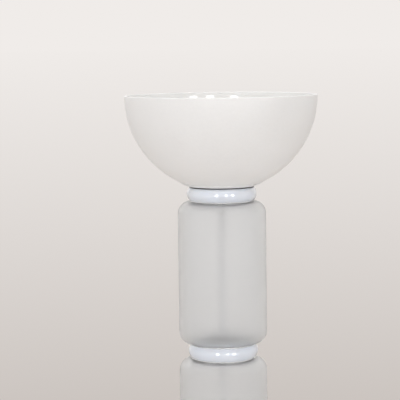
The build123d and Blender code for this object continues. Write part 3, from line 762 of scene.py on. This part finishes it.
def makeBezel(shape):
    low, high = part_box("switch_bezel")
    outer = (high.x - low.x) / 2
    seat = high.z - shape["flange"]
    outline = roundedOutline([
        (shape["bore"], low.z), (shape["barrel"], low.z), (shape["barrel"], seat),
        (outer, seat, shape["seatRound"]), (outer, high.z, shape["round"]),
        (shape["bore"], high.z, shape["boreRound"]),
    ], shape["arcStep"])

    def knurl(angle, radius, height):
        # teeth round the flange, fading out towards the flat top
        reach = fadeIn(radius, outer - shape["toothRun"], shape["toothFade"])
        tooth = 0.5 + 0.5 * math.cos(shape["teeth"] * angle)
        return radius - shape["toothDepth"] * reach * tooth, height

    place = Matrix.Translation((*switchAxis, 0))
    segments = shape["teeth"] * shape["stepsPerTooth"]
    bezel = turnPiece("switchBezel", outline, segments, knurl, place=place)
    fitPiece(bezel, "stand", "polished_nickel", [switchNickel], "switch_bezel")


makeButton(buttonShape)
makeBezel(bezelShape)
print("foot switch made")


# Cable gland: ribbed flange at the back of the base, with a flared mouth

glandShape = {
    "bore": 0.0036, "barrel": 0.0060, "flange": 0.0030, "round": 0.0009, "flare": 0.0009,
    "seatRound": 0.0002, "ribs": 14, "ribDepth": 0.0006, "ribRun": 0.0016, "ribFade": 0.0012,
    "arcStep": 10, "stepsPerRib": 12,
}


def makeGland(shape):
    low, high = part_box("cable_gland")
    outer = (high.x - low.x) / 2
    seat = high.y - shape["flange"]
    outline = roundedOutline([
        (shape["bore"], low.y), (shape["barrel"], low.y), (shape["barrel"], seat),
        (outer, seat, shape["seatRound"]), (outer, high.y, shape["round"]),
        (shape["bore"], high.y, shape["flare"]),
    ], shape["arcStep"])

    def ribs(angle, radius, height):
        reach = fadeIn(radius, outer - shape["ribRun"], shape["ribFade"])
        groove = max(0.0, math.cos(shape["ribs"] * angle)) ** 2
        return radius - shape["ribDepth"] * reach * groove, height

    middle = (low.z + high.z) / 2
    place = Matrix.Translation((0, 0, middle)) @ Matrix.Rotation(math.radians(-90), 4, "X")
    segments = shape["ribs"] * shape["stepsPerRib"]
    gland = turnPiece("cableGland", outline, segments, ribs, place=place)
    fitPiece(gland, "stand", "white_plastic", [whitePlastic], "cable_gland")


makeGland(glandShape)
print("cable gland made")


# Bulb cap: rolled screw thread, black insulator and soldered tip

bulbCapShape = {
    "radius": 0.0131, "tip": 0.0045, "tipHeight": 0.0015, "cone": 0.0115, "coneHeight": 0.0040,
    "pitch": 0.003629, "threadDepth": 0.0007, "runOut": 0.0022, "solder": 0.0003,
    "stepsPerTurn": 14, "arcStep": 15, "segments": 72,
}


def makeBulbCap(shape):
    low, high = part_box("bulb_cap")
    coneLow = low.z + shape["tipHeight"]
    coneHigh = coneLow + shape["coneHeight"]
    threadLow = coneHigh + shape["radius"] - shape["cone"]
    threadHeight = high.z - threadLow
    steps = math.ceil(threadHeight / shape["pitch"] * shape["stepsPerTurn"])
    wall = [(shape["radius"], threadLow + threadHeight * step / steps) for step in range(steps + 1)]
    tip = [(0, low.z), (shape["tip"], low.z, shape["solder"]), (shape["tip"], coneLow)]
    tip = roundedOutline(tip, shape["arcStep"])
    outline = tip + [(shape["cone"], coneHigh)] + wall + [(0, high.z)]
    skins = [1 if index == len(tip) - 1 else 0 for index in range(len(outline))]

    def thread(angle, radius, height):
        if radius < shape["cone"] + onAxis:
            return radius, height
        reach = fadeIn(min(height - threadLow, high.z - height), 0.0, shape["runOut"])
        phase = fullTurn * height / shape["pitch"] - angle
        return radius - shape["threadDepth"] * reach * (0.5 - 0.5 * math.cos(phase)), height

    cap = turnPiece("bulbCap", outline, shape["segments"], thread, skins)
    fitPiece(cap, "bulb", "polished_nickel", [nickel, blackPlastic], "bulb_cap")


makeBulbCap(bulbCapShape)
print("bulb cap made")


# Screws of the bottom plate: pan heads with a cross recess, seen from below

screwShape = {
    "head": 0.0045, "headHeight": 0.0018, "headRound": 0.0009, "shank": 0.0025, "recess": 0.0024,
    "slot": 0.0006, "recessDepth": 0.0011, "floorShare": 0.55, "faceShare": 1.25,
    "arcStep": 15, "segments": 32,
}


def crossRing(sheet, reach, slot, height):
    quarter = [(reach, -slot), (reach, slot), (slot, slot)]
    points = []
    for turn in range(4):
        c, s = math.cos(turn * fullTurn / 4), math.sin(turn * fullTurn / 4)
        points += [(x * c - y * s, x * s + y * c) for x, y in quarter]
    return [sheet.verts.new((x, y, height)) for x, y in points]


def loopEdges(sheet, loop):
    pairs = zip(loop, loop[1:] + loop[:1])
    return [sheet.edges.get(pair) or sheet.edges.new(pair) for pair in pairs]


def addScrew(sheet, spot, low, high, shape):
    seat = low + shape["headHeight"]
    outline = roundedOutline([
        (shape["recess"] * shape["faceShare"], low), (shape["head"], low, shape["headRound"]),
        (shape["head"], seat), (shape["shank"], seat), (shape["shank"], high), (0, high),
    ], shape["arcStep"])
    part = bmesh.new()
    rings = []
    for radius, height in outline:
        count = 1 if radius < onAxis else shape["segments"]
        angles = [fullTurn * step / shape["segments"] for step in range(count)]
        points = [(radius * math.cos(a), radius * math.sin(a), height) for a in angles]
        rings.append([part.verts.new(point) for point in points])
    for ring, following in zip(rings, rings[1:]):
        joinRings(part, ring, following, 0)
    recess, slot = shape["recess"], shape["slot"]
    mouth = crossRing(part, recess, slot, low)
    floor = crossRing(part, recess * shape["floorShare"], slot, low + shape["recessDepth"])
    joinRings(part, mouth, floor, 0)
    part.faces.new(floor)
    edges = loopEdges(part, rings[0]) + loopEdges(part, mouth)
    bmesh.ops.triangle_fill(part, edges=edges, use_beauty=True, use_dissolve=False)
    bmesh.ops.translate(part, verts=part.verts[:], vec=spot)
    mesh = bpy.data.meshes.new("screw")
    part.to_mesh(mesh)
    part.free()
    sheet.from_mesh(mesh)
    bpy.data.meshes.remove(mesh)


def makeScrews(shape):
    low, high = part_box("base_screws")
    across = high.x - shape["head"]
    sheet = bmesh.new()
    for x, y in ((across, across), (-across, across), (-across, -across), (across, -across)):
        addScrew(sheet, (x, y, 0), low.z, high.z, shape)
    screws = makePiece("baseScrews", sheet)
    fitPiece(screws, "stand", "zinc_steel", [zinc], "base_screws")


makeScrews(screwShape)
print("base screws made")


# Studio: pale floor that fades into the backdrop colour

studio = {
    "backdrop": (0.871, 0.838, 0.815, 1), "nearSweep": (0.600, 0.557, 0.528, 1),
    "sweepStart": 3.73, "sweepScale": 6.806,
    "ambient": (1.0, 0.985, 0.965, 1), "ambientStrength": 0.60,
    "floorColour": (0.64, 0.60, 0.57, 1), "floorRough": 0.9, "floorRadius": 400.0, "floorSides": 96,
    "fadeFrom": 1.5, "fadeTo": 2.7,
}


def seenRay(tree):
    # the backdrop shows to the camera, in gloss and through glass
    path = addNode(tree, "LightPath").outputs
    glossy = mathNode(tree, "MAXIMUM", path["Is Glossy Ray"], path["Is Transmission Ray"])
    return mathNode(tree, "MAXIMUM", path["Is Camera Ray"], glossy)


def makeWorld():
    world = bpy.data.worlds.new("studioAir")
    scene.world = world
    world.use_nodes = True
    tree = world.node_tree
    tree.nodes.clear()
    ambient = {"Color": studio["ambient"], "Strength": studio["ambientStrength"]}
    backdrop = {"Color": studio["backdrop"], "Strength": 1.0}
    lit = addNode(tree, "Background", ambient).outputs[0]
    seen = addNode(tree, "Background", backdrop).outputs[0]
    mix = addNode(tree, "MixShader", {0: seenRay(tree), 1: lit, 2: seen})
    addNode(tree, "OutputWorld", {"Surface": mix.outputs[0]})


def makeFloor():
    sheet = bmesh.new()
    radius, sides = studio["floorRadius"], studio["floorSides"]
    bmesh.ops.create_circle(sheet, cap_ends=True, radius=radius, segments=sides)
    mesh = bpy.data.meshes.new("studioFloor")
    sheet.to_mesh(mesh)
    sheet.free()
    floor = bpy.data.objects.new("studioFloor", mesh)
    scene.collection.objects.link(floor)
    paint = {"Roughness": studio["floorRough"], "Base_Color": studio["floorColour"]}
    finish, tree, shader = newFinish("floorPaint", **paint)
    spot = addNode(tree, "NewGeometry").outputs["Position"]
    away = addNode(tree, "VectorMath", {0: spot}, operation="LENGTH").outputs["Value"]
    fadeWires = {0: away, 1: studio["fadeFrom"], 2: studio["fadeTo"]}
    fade = addNode(tree, "MapRange", fadeWires, interpolation_type="SMOOTHSTEP").outputs[0]
    # past the fade the floor glows, darker near the lamp and paling into the backdrop
    reach = mathNode(tree, "ADD", away, studio["sweepStart"])
    nearness = mathNode(tree, "DIVIDE", studio["sweepScale"], reach, clamp=True)
    sweep = blendColours(tree, nearness, studio["backdrop"], studio["nearSweep"])
    glow = addNode(tree, "Emission", {"Color": sweep, "Strength": 1.0})
    share = mathNode(tree, "MULTIPLY", fade, seenRay(tree))
    mix = addNode(tree, "MixShader", {0: share, 1: shader.outputs[0], 2: glow.outputs[0]})
    tree.links.new(mix.outputs[0], tree.nodes["Material Output"].inputs["Surface"])
    mesh.materials.append(finish)


# Lights: soft boxes for the matt surfaces, and three panels that show only as reflections

panelShape = {"distance": 3.0, "height": 1.43}
panelLight = {"size": (0.52, 1.20), "watts": 13.0, "spreadDeg": 180.0}
panelAzimuths = {"frontLeftPanel": -17.4, "frontRightPanel": 13.6, "sideRightPanel": 35.6}
softBoxes = {
    "frontBox": {
        "place": (0.25, -3.0, 1.55), "aim": 1.55,
        "size": (2.0, 1.2), "watts": 4.5, "spreadDeg": 95.0,
    },
    "leftFill": {
        "place": (-3.0, -0.6, 1.7), "aim": 1.7,
        "size": (1.8, 2.0), "watts": 4.4, "spreadDeg": 90.0,
    },
    "lowBox": {
        "place": (0.55, -3.0, 0.35), "aim": 1.25,
        "size": (1.8, 0.6), "watts": 5.0, "spreadDeg": 75.0,
    },
}
topBox = {"place": (0, 0, 3.4), "aim": 0, "size": (2.6, 2.6), "watts": 30.0, "spreadDeg": 180.0}


def makeLight(name, place, aim, size, watts, spreadDeg):
    # aim is the height on the lamp's axis that the light looks at
    light = bpy.data.lights.new(name, "AREA")
    light.shape = "RECTANGLE"
    light.size, light.size_y = size
    light.energy = watts
    light.spread = math.radians(spreadDeg)
    lamp = bpy.data.objects.new(name, light)
    lamp.location = place
    lamp.rotation_euler = (Vector((0, 0, aim)) - Vector(place)).to_track_quat("-Z", "Y").to_euler()
    lamp.visible_camera = False
    scene.collection.objects.link(lamp)
    return lamp


def makeLights():
    distance, height = panelShape["distance"], panelShape["height"]
    for name, azimuth in panelAzimuths.items():
        turn = math.radians(azimuth)
        place = (distance * math.sin(turn), -distance * math.cos(turn), height)
        lamp = makeLight(name, place, height, **panelLight)
        lamp.visible_diffuse = False
        lamp.visible_transmission = False
    for name, box in softBoxes.items():
        lamp = makeLight(name, **box)
        lamp.visible_glossy = False
        lamp.visible_transmission = False
    makeLight("topBox", **topBox).visible_glossy = False


# Camera at the photograph's angle

photoCamera = {
    "lens": 144.0, "sensor": 36.0, "distance": 3.7283, "aboveRim": 0.1174, "pitchDeg": 5.561,
    "yawDeg": 0.783, "rollDeg": -0.660, "clipStart": 0.05, "clipEnd": 1000,
}


def makeCamera(view):
    lens = bpy.data.cameras.new("photoCamera")
    lens.lens, lens.sensor_width = view["lens"], view["sensor"]
    lens.clip_start, lens.clip_end = view["clipStart"], view["clipEnd"]
    pitch, yaw, roll = (math.radians(view[key]) for key in ("pitchDeg", "yawDeg", "rollDeg"))
    flat = math.cos(pitch)
    ahead = Vector((-math.sin(yaw) * flat, math.cos(yaw) * flat, -math.sin(pitch)))
    level = Vector((math.cos(yaw), math.sin(yaw), 0))
    upright = level.cross(ahead)
    right = level * math.cos(roll) + upright * math.sin(roll)
    up = upright * math.cos(roll) - level * math.sin(roll)
    place = Matrix.Translation((0, -view["distance"], cadBox[1].z + view["aboveRim"]))
    camera = bpy.data.objects.new("photoCamera", lens)
    camera.matrix_world = place @ Matrix((right, up, -ahead)).transposed().to_4x4()
    scene.collection.objects.link(camera)
    scene.camera = camera


scene.view_settings.view_transform = "Standard"
makeWorld()
makeFloor()
makeLights()
makeCamera(photoCamera)
print("studio set")
